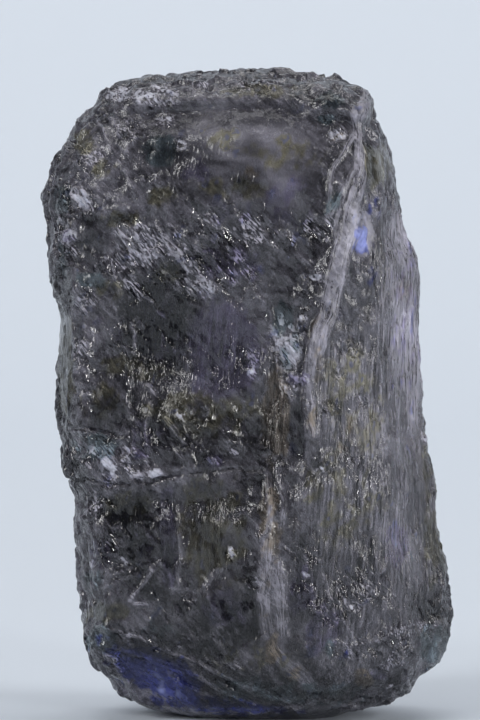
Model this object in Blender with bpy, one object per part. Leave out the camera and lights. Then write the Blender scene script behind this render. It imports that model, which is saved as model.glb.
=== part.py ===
"""A stubby, broken prism of rough iolite that stands on the small flat spot under its lower end.

Lengths are in millimetres until the last step, which makes them metres. X runs across the front, Y runs
from the front to the back and Z is up. The front of the stone faces -Y.
"""

import math

import bmesh
import bpy
import numpy as np
from mathutils import Vector
from mathutils import noise

MM = 0.001

# Overall height of the stone, from its flat spot to the highest lump of its top
HEIGHT = 38.0

# The furthest apart that two stacked sections are, in height or at any corner, and the least step in height
SPACING = 0.74
LEAST_STEP = 0.04
STEP_CUT = 0.8

# Outline seen from the front, as (height, distance from the middle line)
LEFT_OUTLINE = (
    (0.0, -4.2), (0.2, -5.8), (0.9, -7.2), (2.1, -8.2), (2.7, -8.9), (3.9, -9.6), (4.5, -9.9),
    (6.2, -10.0), (6.9, -9.8), (9.1, -10.2), (9.7, -10.1), (11.5, -10.4), (13.1, -10.2),
    (14.4, -11.0), (16.8, -11.15), (18.5, -11.4), (22.0, -11.25), (23.7, -11.1), (25.0, -11.5),
    (28.5, -11.85), (29.1, -11.6), (30.5, -12.0), (32.3, -11.5), (33.2, -11.2), (34.4, -10.5),
    (35.5, -9.4), (36.1, -9.1), (36.9, -8.3), (37.3, -6.9), (37.5, -5.0), (37.8, -1.7), (38.0, -0.6),
)
RIGHT_OUTLINE = (
    (0.0, 5.4), (0.4, 6.4), (0.9, 8.3), (2.1, 9.6), (2.7, 10.6), (3.9, 11.5), (5.3, 11.95),
    (6.8, 11.5), (8.5, 11.6), (10.3, 11.1), (11.2, 10.8), (14.1, 10.7), (16.2, 10.1), (18.5, 9.95),
    (22.6, 9.7), (26.1, 9.75), (27.0, 9.5), (28.2, 8.8), (30.2, 8.5), (32.0, 8.3), (33.2, 8.0),
    (34.9, 6.8), (35.6, 7.1), (36.4, 6.7), (37.0, 5.8), (37.3, 3.9), (37.5, 2.2), (38.0, 1.0),
)

# Depth of each long edge of the prism, as (height, distance behind the middle)
LEFT_EDGE_DEPTH = ((0.0, -0.6), (4.0, -1.0), (14.0, -1.6), (24.0, -2.0), (33.0, -1.0), (38.0, 0.5))
FRONT_LEFT_DEPTH = (
    (0.0, -2.7), (1.0, -4.3), (3.0, -5.7), (6.0, -6.6), (14.0, -6.9), (22.0, -6.5), (30.0, -6.9),
    (34.0, -6.1), (36.3, -4.2), (37.4, -2.0), (38.0, -0.2),
)
FRONT_PANEL_DEPTH = (
    (0.0, -3.2), (1.0, -5.4), (3.0, -7.1), (6.0, -7.7), (13.0, -7.8), (14.2, -7.9), (17.0, -7.7),
    (22.0, -7.3), (27.0, -7.5), (31.0, -8.0), (34.0, -7.6), (36.2, -5.8), (37.3, -3.2), (38.0, -0.3),
)
STEP_FOOT_DEPTH = (
    (0.0, -3.2), (1.5, -6.4), (3.3, -8.1), (6.8, -8.9), (13.4, -9.0), (15.2, -7.8), (22.6, -7.4),
    (28.0, -7.9), (32.0, -8.0), (35.5, -6.0), (37.0, -3.6), (38.0, -0.3),
)
RIDGE_DEPTH = (
    (0.0, -3.0), (1.5, -6.2), (3.0, -7.8), (6.8, -8.9), (13.8, -9.2), (18.5, -9.1), (22.0, -9.0),
    (25.0, -8.8), (27.9, -8.5), (32.0, -7.7), (35.5, -5.3), (36.7, -3.6), (38.0, -0.2),
)
RIGHT_FACE_DEPTH = (
    (0.0, -2.2), (1.5, -4.6), (3.0, -5.9), (6.8, -6.6), (13.8, -6.9), (22.0, -6.6), (27.9, -6.0),
    (32.0, -5.2), (35.5, -3.4), (36.7, -2.4), (38.0, 0.0),
)
RIGHT_EDGE_DEPTH = ((0.0, 0.0), (4.0, -0.9), (14.0, -0.9), (24.0, -0.6), (33.0, 0.3), (38.0, 0.5))
BACK_RIGHT_DEPTH = (
    (0.0, 2.6), (1.0, 4.2), (3.5, 5.6), (10.0, 6.1), (24.0, 5.7), (33.0, 5.0), (36.0, 3.8),
    (37.4, 2.2), (38.0, 0.9),
)
BACK_RIDGE_DEPTH = (
    (0.0, 3.2), (1.0, 5.4), (3.5, 7.3), (10.0, 8.1), (24.0, 7.9), (33.0, 7.0), (36.0, 5.3),
    (37.4, 2.9), (38.0, 1.0),
)
BACK_LEFT_DEPTH = (
    (0.0, 2.6), (1.0, 4.4), (3.5, 6.0), (10.0, 6.9), (24.0, 7.1), (33.0, 5.8), (36.0, 4.2),
    (37.4, 2.4), (38.0, 0.9),
)
LEFT_BACK_DEPTH = ((0.0, 1.0), (4.0, 2.2), (14.0, 2.6), (24.0, 2.2), (33.0, 2.2), (38.0, 0.7))

# Where the edges that cross the front run, as (height, distance from the middle line)
STEP_FOOT_ACROSS = (
    (0.0, 2.0), (1.5, 2.8), (3.3, 1.3), (6.8, 0.7), (13.8, 0.8), (16.8, 1.0), (22.6, 1.2),
    (25.0, 2.0), (27.9, 3.8), (29.4, 4.5), (32.6, 5.3), (35.5, 5.7), (37.0, 3.6), (38.0, 0.4),
)
RIDGE_ACROSS = (
    (0.0, 3.6), (1.5, 5.0), (3.3, 4.2), (6.8, 3.4), (15.6, 3.5), (18.5, 3.4), (22.0, 3.8),
    (25.0, 4.4), (27.9, 5.2), (32.0, 6.1), (35.5, 6.4), (36.7, 5.6), (38.0, 0.7),
)
BACK_RIDGE_ACROSS = ((0.0, 0.8), (8.0, 2.0), (24.0, 0.6), (34.0, -0.6), (38.0, 0.0))

# What the rounding of the edges takes off each side of the outline
ROUNDING_ALLOWANCE = 0.12

# How far in from the outline the blunt corners stand
FRONT_LEFT_INSET = 1.9
BACK_RIGHT_INSET = 2.2
BACK_LEFT_INSET = 3.4
LEFT_BACK_INSET = 0.5

# How far the front's two long edges keep from the right side of the outline, where the stone narrows
STEP_FOOT_ROOM = 0.9
RIDGE_ROOM = 0.3

# How far along the front panel and the right face their middle edges stand
PANEL_SHARE = 0.55
RIGHT_FACE_SHARE = 0.58

# How many faces fill each side of a section, in order round the stone from the left edge
FACES_PER_SIDE = (4, 8, 7, 5, 5, 5, 4, 7, 6, 4, 3)

# How steep the sides of the hollows are
HOLLOW_SIDES = 1.5

# Hollows in the surface, as (across, depth, height, reach across, reach up, how deep)
HOLLOWS = (
    (-5.4, -7.2, 22.4, 2.6, 4.6, 0.65),
    (-4.3, -7.8, 33.4, 1.4, 1.3, 0.45),
    (-5.2, -6.8, 3.6, 4.6, 2.9, 0.60),
    (-5.4, -7.4, 7.2, 1.7, 1.9, 0.40),
    (6.5, -7.2, 28.0, 1.1, 1.6, 0.45),
    (8.0, -5.0, 3.8, 2.4, 2.2, 0.50),
    (-5.8, 6.8, 27.5, 3.4, 5.2, 0.55),
    (5.6, 6.9, 12.5, 3.2, 5.5, 0.50),
    (-8.5, 4.8, 11.0, 2.4, 4.6, 0.50),
    (3.2, 6.6, 33.0, 3.6, 2.8, 0.60),
)

# The crack under a broken ledge that crosses the left of the front, and how far back what it cuts may face
LEDGE_HEIGHT = 13.5
LEDGE_RISE_PER_MM = 0.05
LEDGE_RIGHT_END = 0.6
LEDGE_FADE = 2.5
LEDGE_DEPTH = 0.45
LEDGE_HALF_WIDTH = 0.75
LEDGE_LAST_FACING = 0.3

# Broad flat breaks, each as a point on the break and the way that it faces
BREAKS = (
    ((0.5, 6.7, 31.0), (0.18, 0.86, 0.48)),
    ((-1.0, 6.9, 7.2), (-0.22, 0.88, -0.42)),
    ((6.4, 5.4, 18.0), (0.66, 0.75, 0.04)),
    ((-7.4, 5.4, 19.0), (-0.60, 0.80, -0.06)),
    ((0.0, 0.5, 37.7), (-0.04, 0.42, 0.91)),
    ((-2.0, -6.5, 35.6), (-0.05, -0.66, 0.75)),
    ((-10.6, 3.0, 27.0), (-0.75, 0.62, 0.20)),
    ((8.9, 2.8, 24.0), (0.90, 0.40, 0.12)),
    ((-6.4, -5.6, 3.4), (-0.42, -0.60, -0.68)),
    ((7.6, -5.6, 2.8), (0.42, -0.62, -0.66)),
    ((8.6, 3.6, 3.4), (0.52, 0.55, -0.65)),
    ((-4.6, 6.3, 31.5), (-0.52, 0.74, 0.42)),
    ((2.5, 7.3, 12.0), (0.28, 0.95, -0.12)),
    ((-2.6, 7.2, 22.0), (-0.16, 0.98, 0.10)),
    ((5.6, 5.2, 31.0), (0.62, 0.66, 0.42)),
    ((-9.4, 3.9, 9.0), (-0.74, 0.64, -0.18)),
    ((10.2, 2.4, 8.0), (0.84, 0.52, -0.14)),
)

# Worn, uneven surface: lumps in layers, each layer finer and lower than the one before, and upright ribs
LUMP_SIZE = 2.4
LUMP_HEIGHT = 0.12
LUMP_LAYERS = 3
LUMP_FINER = 2.1
LUMP_LOWER = 0.9
RIB_WIDTH = 1.1
RIB_STRETCH = 6.0
RIB_HEIGHT = 0.08

# The height over which the wear grows above the flat spot, and how much of it the outline is spared
BASE_BLEND = 1.4
OUTLINE_HOLD = 0.85

# How far each round of blunting pulls a point towards its neighbours, then pushes it away again
BLUNTING_SHARES = (0.6, -0.62)
BLUNTING_ROUNDS = 2

# Dark grey with a cast of violet, and the gloss and bending of light of worn cordierite
CRYSTAL_GREY = (0.105, 0.103, 0.122, 1.0)
CRYSTAL_ROUGHNESS = 0.35
CRYSTAL_IOR = 1.54


def along(line, height):
    """The second number of a line of pairs, read at this height."""
    heights, values = zip(*line)
    return float(np.interp(height, heights, values))


def section_corners(height):
    """The blunt corners of the stone's section at this height, from the left edge round by the front."""
    left = along(LEFT_OUTLINE, height) - ROUNDING_ALLOWANCE
    right = along(RIGHT_OUTLINE, height) + ROUNDING_ALLOWANCE
    spread = min(1.0, (right - left) / (2.0 * (FRONT_LEFT_INSET + BACK_LEFT_INSET)))
    front_left = left + FRONT_LEFT_INSET * spread
    foot = min(along(STEP_FOOT_ACROSS, height), right - STEP_FOOT_ROOM * spread)
    ridge = min(along(RIDGE_ACROSS, height), right - RIDGE_ROOM * spread)
    panel = front_left + PANEL_SHARE * (foot - front_left)
    return (
        (left, along(LEFT_EDGE_DEPTH, height)),
        (front_left, along(FRONT_LEFT_DEPTH, height)),
        (panel, along(FRONT_PANEL_DEPTH, height)),
        (foot, along(STEP_FOOT_DEPTH, height)),
        (ridge, along(RIDGE_DEPTH, height)),
        (ridge + RIGHT_FACE_SHARE * (right - ridge), along(RIGHT_FACE_DEPTH, height)),
        (right, along(RIGHT_EDGE_DEPTH, height)),
        (right - BACK_RIGHT_INSET * spread, along(BACK_RIGHT_DEPTH, height)),
        (along(BACK_RIDGE_ACROSS, height), along(BACK_RIDGE_DEPTH, height)),
        (left + BACK_LEFT_INSET * spread, along(BACK_LEFT_DEPTH, height)),
        (left + LEFT_BACK_INSET * spread, along(LEFT_BACK_DEPTH, height)),
    )


def section_points(height):
    """Points spread along the sides of the section at this height."""
    corners = [Vector((across, depth, height)) for across, depth in section_corners(height)]
    points = []
    for side, count in enumerate(FACES_PER_SIDE):
        start = corners[side]
        end = corners[(side + 1) % len(corners)]
        points += [start.lerp(end, step / count) for step in range(count)]
    return points


def shift_between(lower, upper):
    """The furthest that any corner of the section moves sideways between two heights."""
    return max(math.dist(*pair) for pair in zip(section_corners(lower), section_corners(upper)))


def section_heights():
    """Heights of the stacked sections, closest together where the outline turns over at the ends."""
    heights = [0.0]
    while heights[-1] < HEIGHT - 2.0 * LEAST_STEP:
        step = min(SPACING, HEIGHT - LEAST_STEP - heights[-1])
        while step > LEAST_STEP and shift_between(heights[-1], heights[-1] + step) > SPACING:
            step *= STEP_CUT
        heights.append(heights[-1] + step)
    return heights


def stack_sections(mesh):
    """Joins the sections into one closed skin, with a flat face at the bottom and a point at the top."""
    rings = [[mesh.verts.new(point) for point in section_points(height)] for height in section_heights()]
    count = len(rings[0])
    for lower, upper in zip(rings, rings[1:]):
        for place in range(count):
            following = (place + 1) % count
            mesh.faces.new((lower[place], lower[following], upper[following], upper[place]))
    mesh.faces.new(reversed(rings[0]))
    middle = sum((vertex.co for vertex in rings[-1]), Vector()) / count
    top = mesh.verts.new((middle.x, middle.y, HEIGHT))
    for place in range(count):
        mesh.faces.new((rings[-1][place], rings[-1][(place + 1) % count], top))


def flatten_breaks(mesh):
    """Moves what lies beyond each break onto it."""
    for place, facing in BREAKS:
        normal = Vector(facing).normalized()
        for vertex in mesh.verts:
            beyond = (vertex.co - Vector(place)).dot(normal)
            if beyond > 0.0:
                vertex.co -= normal * beyond


def hollow_depth(point):
    """How far the hollows push this point in."""
    total = 0.0
    for across, depth, height, reach_across, reach_up, deep in HOLLOWS:
        apart = Vector((
            (point.x - across) / reach_across,
            (point.y - depth) / reach_across,
            (point.z - height) / reach_up,
        ))
        total += deep * max(0.0, 1.0 - apart.length_squared) ** HOLLOW_SIDES
    return total


def ledge_depth(point, normal):
    """How far the crack under the broken ledge is cut in, on the front and the left side."""
    if normal.y > LEDGE_LAST_FACING or point.x > LEDGE_RIGHT_END + LEDGE_FADE:
        return 0.0
    line = LEDGE_HEIGHT + LEDGE_RISE_PER_MM * (point.x - LEDGE_RIGHT_END)
    near = max(0.0, 1.0 - abs(point.z - line) / LEDGE_HALF_WIDTH)
    fade = min(1.0, max(0.0, (LEDGE_RIGHT_END + LEDGE_FADE - point.x) / LEDGE_FADE))
    return LEDGE_DEPTH * near * fade


def worn_height(point):
    """How far the uneven surface stands out at this point."""
    lumps = noise.fractal(point / LUMP_SIZE, LUMP_LOWER, LUMP_FINER, LUMP_LAYERS)
    ribs = noise.noise(Vector((point.x, point.y, point.z / RIB_STRETCH)) / RIB_WIDTH)
    return LUMP_HEIGHT * lumps + RIB_HEIGHT * ribs


def outline_share(normal):
    """1 on the front and the back, and less where the surface turns over to the outline."""
    return 1.0 - OUTLINE_HOLD * (1.0 - normal.y**2)


def wear_surface(mesh):
    """Moves every point but those of the flat spot along its normal, in or out."""
    mesh.normal_update()
    moved = []
    for vertex in mesh.verts:
        blend = min(1.0, vertex.co.z / BASE_BLEND) * outline_share(vertex.normal)
        out = worn_height(vertex.co) - hollow_depth(vertex.co) - ledge_depth(vertex.co, vertex.normal)
        moved.append(vertex.co + vertex.normal * out * blend)
    for vertex, place in zip(mesh.verts, moved):
        vertex.co = place
        vertex.co.z = max(vertex.co.z, 0.0)


def blunt_edges(mesh):
    """Pulls each point above the flat spot to its neighbours, then pushes it back so as not to shrink."""
    above = [vertex for vertex in mesh.verts if vertex.co.z > 0.0]
    for share in BLUNTING_SHARES * BLUNTING_ROUNDS:
        places = []
        for vertex in above:
            neighbours = [edge.other_vert(vertex).co for edge in vertex.link_edges]
            middle = sum(neighbours, Vector()) / len(neighbours)
            places.append(vertex.co.lerp(middle, share))
        for vertex, place in zip(above, places):
            vertex.co = place
            vertex.co.z = max(vertex.co.z, 0.0)


def centre_and_scale(mesh):
    """Puts the middle of the outline over the origin and the flat spot at height 0, and makes it metres."""
    places = np.array([vertex.co for vertex in mesh.verts])
    low = places.min(axis=0)
    high = places.max(axis=0)
    shift = Vector((-(low[0] + high[0]) / 2.0, -(low[1] + high[1]) / 2.0, -low[2]))
    for vertex in mesh.verts:
        vertex.co = (vertex.co + shift) * MM


def iolite_material():
    """Dark grey, glassy cordierite."""
    material = bpy.data.materials.new("rough iolite")
    material.use_nodes = True
    shader = material.node_tree.nodes["Principled BSDF"]
    shader.inputs["Base Color"].default_value = CRYSTAL_GREY
    shader.inputs["Roughness"].default_value = CRYSTAL_ROUGHNESS
    shader.inputs["Metallic"].default_value = 0.0
    shader.inputs["IOR"].default_value = CRYSTAL_IOR
    material.diffuse_color = CRYSTAL_GREY
    return material


def iolite_crystal():
    """The whole stone, as one closed solid."""
    mesh = bmesh.new()
    stack_sections(mesh)
    flatten_breaks(mesh)
    wear_surface(mesh)
    blunt_edges(mesh)
    centre_and_scale(mesh)
    bmesh.ops.recalc_face_normals(mesh, faces=mesh.faces)
    data = bpy.data.meshes.new("iolite_crystal")
    mesh.to_mesh(data)
    mesh.free()
    data.materials.append(iolite_material())
    crystal = bpy.data.objects.new("iolite_crystal", data)
    bpy.context.scene.collection.objects.link(crystal)
    return crystal


def main():
    for old in list(bpy.data.objects):
        bpy.data.objects.remove(old, do_unlink=True)
    iolite_crystal()


main()
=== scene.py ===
"""Grows the broken, see-through surface of a rough iolite on its CAD solid, and stands it in a pale studio.

Run it as a script. The stone is shaped in millimetres and set back to metres at the end. X runs across the
front, Y from the front to the back, and Z is up.
"""

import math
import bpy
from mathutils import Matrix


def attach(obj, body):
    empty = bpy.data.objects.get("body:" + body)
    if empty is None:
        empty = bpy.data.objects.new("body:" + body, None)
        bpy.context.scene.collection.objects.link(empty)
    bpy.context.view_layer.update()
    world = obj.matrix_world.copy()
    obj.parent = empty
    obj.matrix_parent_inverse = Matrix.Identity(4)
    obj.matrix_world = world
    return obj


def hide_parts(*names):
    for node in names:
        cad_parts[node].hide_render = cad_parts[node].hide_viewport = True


bl_info = {
    "name": "Rough iolite",
    "version": (1, 0, 0),
    "blender": (4, 5, 0),
    "location": "3D View > Sidebar > Iolite",
    "description": "A rough iolite crystal with broken and worn faces, and a studio to show it in",
    "category": "Add Mesh",
}

from functools import partial

import bpy
import numpy as np
from bpy.props import FloatProperty, FloatVectorProperty, IntProperty, PointerProperty
from mathutils import Matrix, Vector, noise

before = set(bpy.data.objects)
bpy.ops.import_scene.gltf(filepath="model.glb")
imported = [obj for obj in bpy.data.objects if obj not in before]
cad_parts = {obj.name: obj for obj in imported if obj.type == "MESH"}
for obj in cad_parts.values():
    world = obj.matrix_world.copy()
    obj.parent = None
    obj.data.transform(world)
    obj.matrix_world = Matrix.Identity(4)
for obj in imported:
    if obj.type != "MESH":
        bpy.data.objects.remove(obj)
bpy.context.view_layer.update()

MM = 0.001
NODE = "iolite_crystal"

# The photo's frame, in pixels, and the camera that took it, in millimetres and degrees
FRAME_WIDTH = 480
FRAME_HEIGHT = 720
SENSOR_WIDTH = 36.0
CAMERA_DISTANCE = 340.0
CAMERA_LENS = 290.1
CAMERA_TILT = 4.0
AIM_ACROSS = -0.645
AIM_HEIGHT = 20.87
FOCAL_PIXELS = CAMERA_LENS / SENSOR_WIDTH * FRAME_HEIGHT
PIXEL_SIZE = CAMERA_DISTANCE / FOCAL_PIXELS

# Lines and patches on the front are in pixels of the photo's frame. A line is a strength in hundredths, a
# half width and then each point across and down. A patch is a place across and down, a half width and a half
# height, then a strength in hundredths if it isn't full and a turn in degrees if there is one.
PATCH_REST = (100, 0)

# Pale strokes, raised a little: worn strands of the two ridges first, then thin ridges, scars and edges, many
# of these others being painted glints
STROKES = (
    (40, 3.4, 366, 90, 361, 112, 358, 127, 362, 150, 363, 178, 358, 202, 350, 232, 343, 262),
    (42, 3.2, 354, 110, 358, 132, 359, 165, 354, 190, 346, 222, 340, 250, 332, 282, 326, 306),
    (30, 2.4, 357, 128, 366, 114, 369, 100), (34, 2.4, 356, 134, 345, 150, 333, 168, 330, 190, 329, 213),
    (30, 3.6, 346, 186, 340, 198, 334, 208, 328, 216),
    (30, 2.2, 358, 158, 351, 176, 344, 196, 338, 218, 335, 236),
    (42, 4.6, 356, 214, 348, 244, 341, 276, 334, 304, 326, 330, 320, 352),
    (34, 3.6, 341, 224, 335, 254, 329, 284, 321, 314, 315, 340, 311, 366),
    (30, 3.4, 322, 330, 315, 356, 311, 384, 311, 412, 313, 438), (20, 3, 309, 352, 307, 380, 307, 404),
    (24, 4, 268, 474, 270, 500, 269, 530, 264, 560), (16, 3.4, 280, 478, 284, 500, 281, 530),
    (26, 6, 270, 530, 266, 556, 265, 590, 266, 616, 270, 644),
    (28, 7, 276, 566, 279, 590, 282, 612, 284, 636),
    (24, 6.5, 270, 626, 276, 650, 288, 666, 300, 676, 311, 688),
    (16, 1.6, 95, 115, 104, 134, 114, 154, 121, 168, 131, 186, 136, 196),
    (13, 2.4, 138, 133, 131, 146, 125, 158), (30, 1.8, 77, 187, 81, 196, 87, 206),
    (26, 1.6, 84, 188, 88, 198, 92, 207), (22, 1.6, 72, 192, 76, 202, 80, 210),
    (18, 1.6, 92, 208, 99, 213, 106, 216), (28, 3.4, 64, 233, 70, 237, 76, 240),
    (16, 1.4, 71, 242, 75, 250, 78, 256), (30, 2.2, 114, 227, 122, 235, 130, 245, 138, 255),
    (24, 2.2, 128, 238, 136, 250, 146, 262), (22, 1.8, 166, 242, 171, 250, 177, 260),
    (18, 1.6, 156, 226, 162, 236, 166, 246), (22, 1.6, 168, 225, 175, 228, 181, 232),
    (16, 1.6, 203, 214, 210, 217, 217, 221), (18, 1.4, 241, 213, 244, 225, 248, 237),
    (20, 1.8, 110, 242, 112, 258, 114, 280, 121, 297), (16, 1.4, 117, 262, 118, 272, 122, 280),
    (22, 1.7, 130, 322, 133, 334, 135, 348), (14, 1.4, 123, 346, 130, 350, 136, 353),
    (20, 1.8, 140, 362, 141, 372, 140, 382), (28, 2.8, 146, 385, 150, 390, 154, 395),
    (20, 1.8, 150, 404, 149, 419, 148, 433, 147, 446), (36, 2.4, 166, 416, 174, 428, 183, 443),
    (14, 1.4, 172, 444, 178, 452, 183, 460), (18, 1.8, 133, 288, 144, 295, 154, 304),
    (18, 1.4, 157, 311, 162, 315, 167, 319), (22, 1.8, 72, 290, 78, 300, 86, 313),
    (18, 1.6, 84, 340, 80, 352, 76, 361), (16, 1.6, 74, 340, 75, 348), (22, 3, 103, 384, 101, 391, 99, 399),
    (18, 1.5, 79, 398, 86, 396, 93, 395), (28, 2.2, 187, 284, 190, 290, 193, 295),
    (24, 1.8, 176, 278, 182, 288), (22, 1.8, 198, 282, 206, 290, 215, 294),
    (20, 2.6, 274, 332, 277, 340, 281, 350), (30, 5.5, 284, 343, 289, 352, 294, 364),
    (24, 2.6, 281, 380, 286, 388, 292, 396), (32, 2.6, 291, 375, 296, 379),
    (26, 2.2, 301, 379, 306, 380, 312, 380), (12, 2.2, 320, 88, 333, 91, 340, 97, 347, 90, 354, 87),
    (16, 1.8, 379, 365, 383, 380, 382, 402, 377, 412), (16, 2, 396, 383, 394, 390, 391, 398),
    (14, 2.2, 394, 505, 397, 516, 399, 528), (14, 1.4, 408, 556, 410, 574, 411, 592),
    (14, 1.6, 428, 556, 432, 566, 435, 576), (16, 1.6, 386, 560, 385, 568, 379, 573, 371, 573),
    (14, 2.4, 322, 572, 330, 596, 336, 624), (30, 2.6, 104, 446, 112, 452, 118, 462),
    (22, 2, 97, 444, 104, 452, 110, 460), (40, 4.2, 104, 458, 109, 467, 114, 476),
    (26, 2.4, 98, 456, 100, 466, 104, 476), (22, 1.8, 142, 455, 148, 465, 152, 474),
    (26, 1.5, 146, 469, 153, 469, 160, 469), (38, 3, 132, 477, 139, 476, 144, 475),
    (38, 3, 150, 475, 156, 474, 161, 473), (32, 2.6, 207, 458, 213, 461, 219, 463),
    (26, 2, 231, 450, 237, 454), (20, 3.4, 78, 520, 85, 512, 92, 506), (22, 1.2, 96, 494, 97, 516, 97, 540),
    (14, 1.2, 178, 531, 179, 550, 178, 590), (9, 4, 222, 562, 210, 580, 194, 600),
    (26, 2.6, 153, 566, 143, 583, 130, 601), (16, 1.8, 156, 562, 166, 571, 172, 582, 174, 592),
    (12, 2, 132, 566, 112, 574, 92, 586), (10, 1.6, 134, 574, 116, 582, 98, 592),
    (30, 1.6, 135, 603, 141, 604, 146, 605), (16, 2.4, 116, 662, 122, 672, 128, 686, 138, 704),
    (12, 2, 205, 659, 222, 662, 241, 668), (10, 1.6, 231, 615, 236, 624, 238, 634),
    (16, 3.6, 346, 638, 349, 648, 353, 658), (16, 3, 416, 626, 426, 624, 435, 628),
    (15, 3.2, 434, 640, 434, 652, 432, 664), (34, 1.6, 380, 665, 388, 666),
    (18, 3, 372, 671, 378, 675, 382, 678), (22, 2.2, 389, 686, 392, 692, 394, 698),
    (14, 2.6, 70, 430, 90, 433, 104, 436), (20, 2, 98, 626, 140, 638, 190, 660, 240, 684, 290, 702),
    (18, 1.8, 120, 648, 170, 664, 220, 690, 262, 706), (16, 1.6, 86, 640, 130, 652, 184, 676),
    (12, 2, 330, 640, 352, 646, 380, 640, 412, 624), (18, 1.6, 340, 616, 352, 634, 360, 652, 366, 676),
)

# Cracks and sharp hollows, with their depth in hundredths of a mm for a strength
CRACKS = (
    (-20, 1.5, 64, 474, 76, 479, 92, 481, 106, 486, 120, 484, 130, 485),
    (-16, 1.2, 136, 482, 150, 484, 161, 479, 175, 475, 188, 474, 201, 471),
    (-12, 1.2, 212, 473, 228, 470, 246, 472, 263, 469), (-16, 2, 70, 429, 88, 430, 106, 432, 124, 438),
    (-18, 1.8, 123, 467, 140, 466, 157, 468), (-12, 2, 150, 262, 166, 282, 182, 300),
    (-10, 2, 268, 300, 272, 340, 278, 396, 284, 460), (-8, 1.6, 160, 492, 159, 530, 160, 560),
    (-10, 1.8, 176, 486, 177, 530, 177, 560), (-14, 3, 372, 185, 368, 215, 372, 250, 376, 290),
    (-12, 2.4, 318, 300, 308, 330, 302, 372, 300, 420, 304, 462),
)

# Where the front is darker, below 0, or paler: partly clearer or milkier stone, and partly painted light and
# shade, paler where light grazes the right side and darker in the recesses
SHADES = (
    (240, 150, 84, 46, 2), (100, 150, 30, 40, 3, 20), (230, 88, 110, 10, 5, -3), (165, 147, 22, 15, -7),
    (181, 152, 10, 6, -5), (152, 84, 8, 5, -8), (116, 130, 8, 9, 5), (96, 152, 10, 7, 5),
    (122, 218, 14, 6, -7), (63, 200, 8, 10, -5), (90, 222, 18, 8, -5), (154, 322, 38, 58, -9),
    (172, 274, 14, 8, -7), (222, 348, 38, 50, -5), (230, 258, 26, 20, -3), (200, 436, 70, 30, -5.5),
    (88, 280, 18, 8, 4), (84, 340, 22, 36, 2), (100, 446, 24, 12, 4), (78, 470, 12, 18, -5),
    (128, 524, 38, 40, -8.5), (168, 540, 8, 46, -8), (212, 532, 36, 52, -5.5), (150, 586, 12, 14, -8),
    (226, 624, 36, 28, -8.5), (165, 650, 60, 20, -7), (262, 686, 76, 22, -8), (300, 594, 12, 24, -5),
    (283, 318, 9, 15, -3), (297, 430, 7, 34, -4), (362, 306, 13, 15, -2), (404, 300, 24, 60, 23),
    (398, 236, 12, 22, 24), (410, 366, 16, 50, 20), (350, 400, 32, 70, 10), (378, 170, 14, 22, 4),
    (364, 222, 12, 22, 16), (378, 208, 9, 11, 3), (400, 440, 22, 40, 12), (400, 520, 28, 50, 9),
    (350, 500, 40, 40, 3), (392, 546, 12, 18, 6), (430, 612, 14, 10, -10), (436, 646, 16, 20, 2),
    (410, 650, 7, 7, -4), (390, 676, 16, 12, -6), (350, 690, 40, 14, -5), (364, 680, 8, 10, 3),
    (386, 620, 34, 18, 2), (160, 206, 12, 10, -3), (222, 137, 13, 10, -3), (330, 100, 12, 8, -6),
    (260, 116, 30, 14, -1), (230, 84, 150, 14, -2), (290, 350, 12, 16, 8), (290, 384, 12, 12, 8),
    (428, 602, 14, 16, -5), (222, 348, 34, 46, 5), (245, 162, 72, 36, 5), (62, 340, 9, 120, -6),
    (226, 120, 50, 9, -3), (350, 180, 13, 60, 3, 6), (334, 280, 12, 50, 3, 16), (316, 350, 10, 34, 8, 4),
    (252, 596, 7, 46, -5, -4), (286, 340, 10, 26, 8, -10), (212, 532, 34, 50, 2), (402, 300, 14, 70, 6),
    (270, 560, 14, 70, 3), (178, 286, 18, 14, -6, 30), (170, 300, 20, 12, -4, 20), (140, 300, 16, 10, -3),
)
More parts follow.
